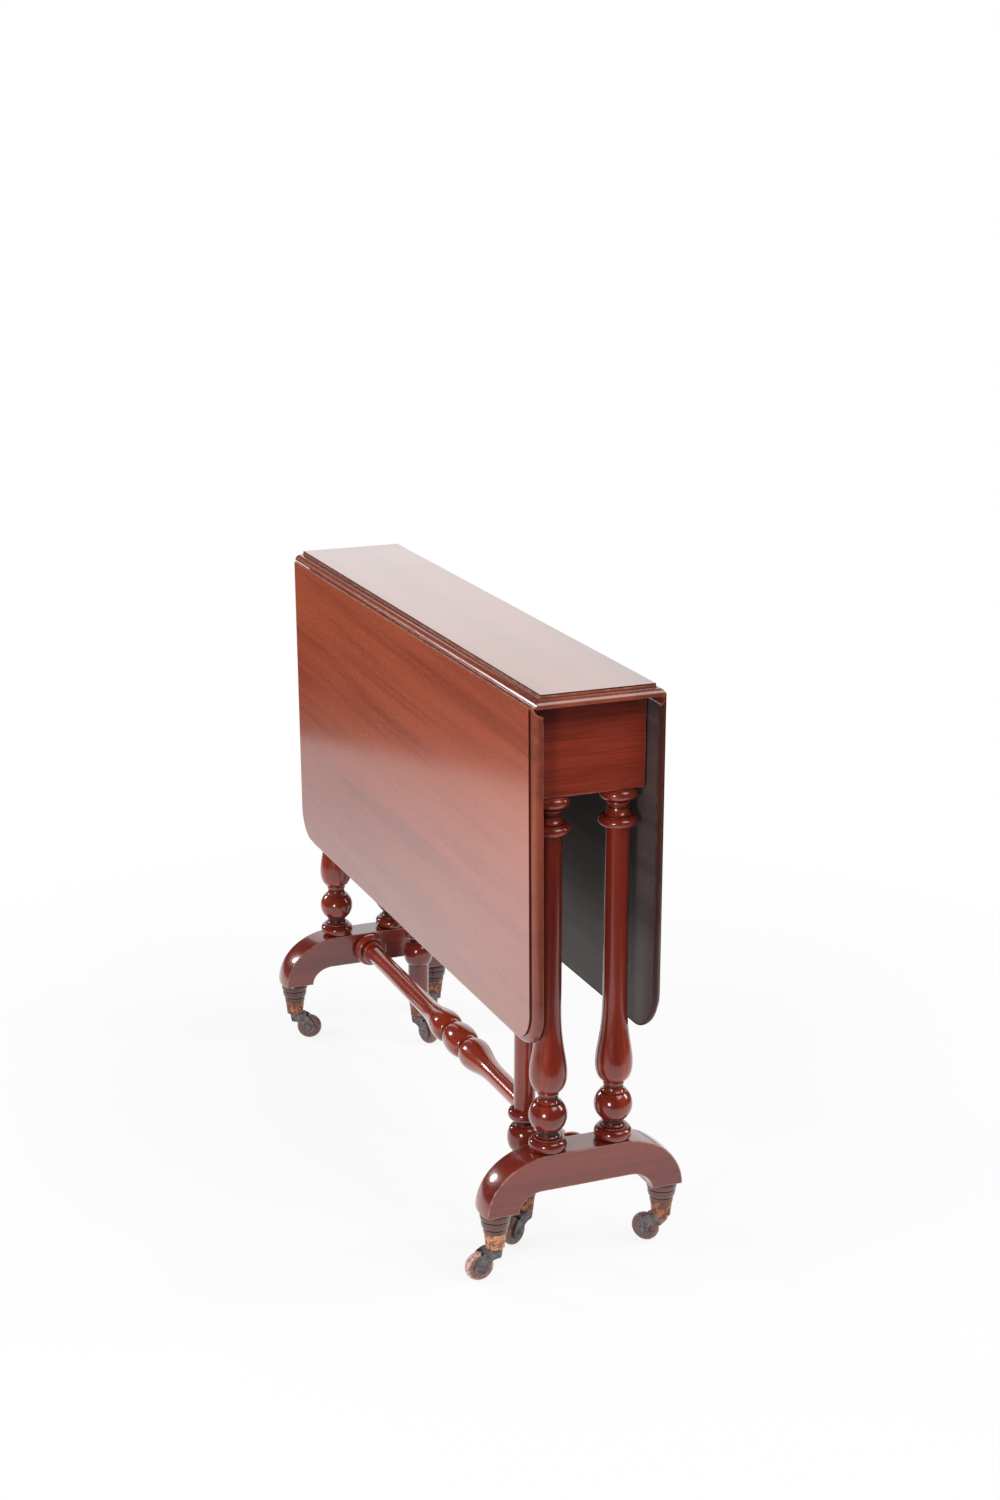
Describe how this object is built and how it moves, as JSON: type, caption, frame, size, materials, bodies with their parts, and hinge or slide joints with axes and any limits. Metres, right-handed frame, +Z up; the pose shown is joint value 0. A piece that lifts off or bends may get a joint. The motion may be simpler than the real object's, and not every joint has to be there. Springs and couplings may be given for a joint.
{
  "type": "sutherland table",
  "caption": "Polished mahogany Sutherland table: narrow moulded top, deep drop leaves on rule joints, turned trestle ends on arched feet, swing gate legs and cupped castors.",
  "frame": {"origin": "on the floor under the centre of the fixed top", "axes": "+X along the table's length, -Y towards the front leaf, +Z up"},
  "size_m": [0.862, 0.277, 0.72],
  "materials": {
    "top_and_leaves": "polished",
    "polished_frame": "polished",
    "dark_pegs": "satin",
    "unpolished_rails": "unpolished",
    "hinge_brass": "tarnished",
    "cup_brass": "worn lacquer",
    "iron": "dull",
    "castor_wheel": "worn"
  },
  "bodies": {
    "frame": {"centre_top": "top_and_leaves", "right_end_rail": "polished_frame", "left_end_rail": "polished_frame", "right_foot": "polished_frame", "left_foot": "polished_frame", "stretcher": "polished_frame", "right_front_column": "polished_frame", "right_back_column": "polished_frame", "left_front_column": "polished_frame", "left_back_column": "polished_frame", "right_front_peg": "dark_pegs", "right_back_peg": "dark_pegs", "left_front_peg": "dark_pegs", "left_back_peg": "dark_pegs", "front_core_rail": "unpolished_rails", "front_stub_rail": "unpolished_rails", "back_core_rail": "unpolished_rails", "back_stub_rail": "unpolished_rails", "front_knuckle_pin": "iron", "back_knuckle_pin": "iron", "front_right_hinge_top_flap": "hinge_brass", "front_left_hinge_top_flap": "hinge_brass", "back_right_hinge_top_flap": "hinge_brass", "back_left_hinge_top_flap": "hinge_brass", "right_front_castor_cup": "cup_brass", "right_back_castor_cup": "cup_brass", "left_front_castor_cup": "cup_brass", "left_back_castor_cup": "cup_brass"},
    "front_leaf": {"front_leaf": "top_and_leaves", "front_right_hinge_leaf_flap": "hinge_brass", "front_left_hinge_leaf_flap": "hinge_brass"},
    "back_leaf": {"back_leaf": "top_and_leaves", "back_right_hinge_leaf_flap": "hinge_brass", "back_left_hinge_leaf_flap": "hinge_brass"},
    "front_gate": {"front_fly_rail": "unpolished_rails", "front_gate_leg": "polished_frame", "front_gate_castor_cup": "cup_brass"},
    "back_gate": {"back_fly_rail": "unpolished_rails", "back_gate_leg": "polished_frame", "back_gate_castor_cup": "cup_brass"},
    "right_front_castor": {"right_front_castor_fork": "iron", "right_front_castor_axle": "iron"},
    "right_front_wheel": {"right_front_castor_wheel": "castor_wheel"},
    "right_back_castor": {"right_back_castor_fork": "iron", "right_back_castor_axle": "iron"},
    "right_back_wheel": {"right_back_castor_wheel": "castor_wheel"},
    "left_front_castor": {"left_front_castor_fork": "iron", "left_front_castor_axle": "iron"},
    "left_front_wheel": {"left_front_castor_wheel": "castor_wheel"},
    "left_back_castor": {"left_back_castor_fork": "iron", "left_back_castor_axle": "iron"},
    "left_back_wheel": {"left_back_castor_wheel": "castor_wheel"},
    "front_gate_castor": {"front_gate_castor_fork": "iron", "front_gate_castor_axle": "iron"},
    "front_gate_wheel": {"front_gate_castor_wheel": "castor_wheel"},
    "back_gate_castor": {"back_gate_castor_fork": "iron", "back_gate_castor_axle": "iron"},
    "back_gate_wheel": {"back_gate_castor_wheel": "castor_wheel"}
  },
  "joints": [
    {"name": "front_leaf_hinge", "type": "hinge", "parent": "frame", "child": "front_leaf", "pos_m": [0, -0.0713, 0.7066], "axis": [-1, 0, 0], "range_deg": [0, 90.57]},
    {"name": "back_leaf_hinge", "type": "hinge", "parent": "frame", "child": "back_leaf", "pos_m": [0, 0.0713, 0.7066], "axis": [1, 0, 0], "range_deg": [0, 90]},
    {"name": "front_gate_knuckle", "type": "hinge", "parent": "frame", "child": "front_gate", "pos_m": [0, -0.04, 0.658], "axis": [0, 0, -1], "range_deg": [0, 2.2]},
    {"name": "back_gate_knuckle", "type": "hinge", "parent": "frame", "child": "back_gate", "pos_m": [0, 0.04, 0.658], "axis": [0, 0, -1], "range_deg": [-3, 0]},
    {"name": "right_front_swivel", "type": "hinge", "parent": "frame", "child": "right_front_castor", "pos_m": [0.388, -0.1092, 0.039], "axis": [0, 0, 1], "continuous": true},
    {"name": "right_front_wheel_spin", "type": "hinge", "parent": "right_front_castor", "child": "right_front_wheel", "pos_m": [0.388, -0.1297, 0.0177], "axis": [1, 0, 0], "continuous": true},
    {"name": "right_back_swivel", "type": "hinge", "parent": "frame", "child": "right_back_castor", "pos_m": [0.388, 0.1092, 0.039], "axis": [0, 0, 1], "continuous": true},
    {"name": "right_back_wheel_spin", "type": "hinge", "parent": "right_back_castor", "child": "right_back_wheel", "pos_m": [0.37185, 0.09658, 0.0177], "axis": [0.6157, -0.788, 0], "continuous": true},
    {"name": "left_front_swivel", "type": "hinge", "parent": "frame", "child": "left_front_castor", "pos_m": [-0.388, -0.1092, 0.039], "axis": [0, 0, 1], "continuous": true},
    {"name": "left_front_wheel_spin", "type": "hinge", "parent": "left_front_castor", "child": "left_front_wheel", "pos_m": [-0.37999, -0.09033, 0.0177], "axis": [-0.9205, 0.3907, 0], "continuous": true},
    {"name": "left_back_swivel", "type": "hinge", "parent": "frame", "child": "left_back_castor", "pos_m": [-0.388, 0.1092, 0.039], "axis": [0, 0, 1], "continuous": true},
    {"name": "left_back_wheel_spin", "type": "hinge", "parent": "left_back_castor", "child": "left_back_wheel", "pos_m": [-0.40842, 0.11099, 0.0177], "axis": [-0.0872, -0.9962, 0], "continuous": true},
    {"name": "front_gate_swivel", "type": "hinge", "parent": "front_gate", "child": "front_gate_castor", "pos_m": [0.3125, -0.04, 0.039], "axis": [0, 0, 1], "continuous": true},
    {"name": "front_gate_wheel_spin", "type": "hinge", "parent": "front_gate_castor", "child": "front_gate_wheel", "pos_m": [0.32212, -0.0581, 0.0177], "axis": [0.8829, 0.4695, 0], "continuous": true},
    {"name": "back_gate_swivel", "type": "hinge", "parent": "back_gate", "child": "back_gate_castor", "pos_m": [-0.31207, 0.05636, 0.039], "axis": [0, 0, 1], "continuous": true},
    {"name": "back_gate_wheel_spin", "type": "hinge", "parent": "back_gate_castor", "child": "back_gate_wheel", "pos_m": [-0.29306, 0.06403, 0.0177], "axis": [-0.3746, 0.9272, 0], "continuous": true}
  ]
}
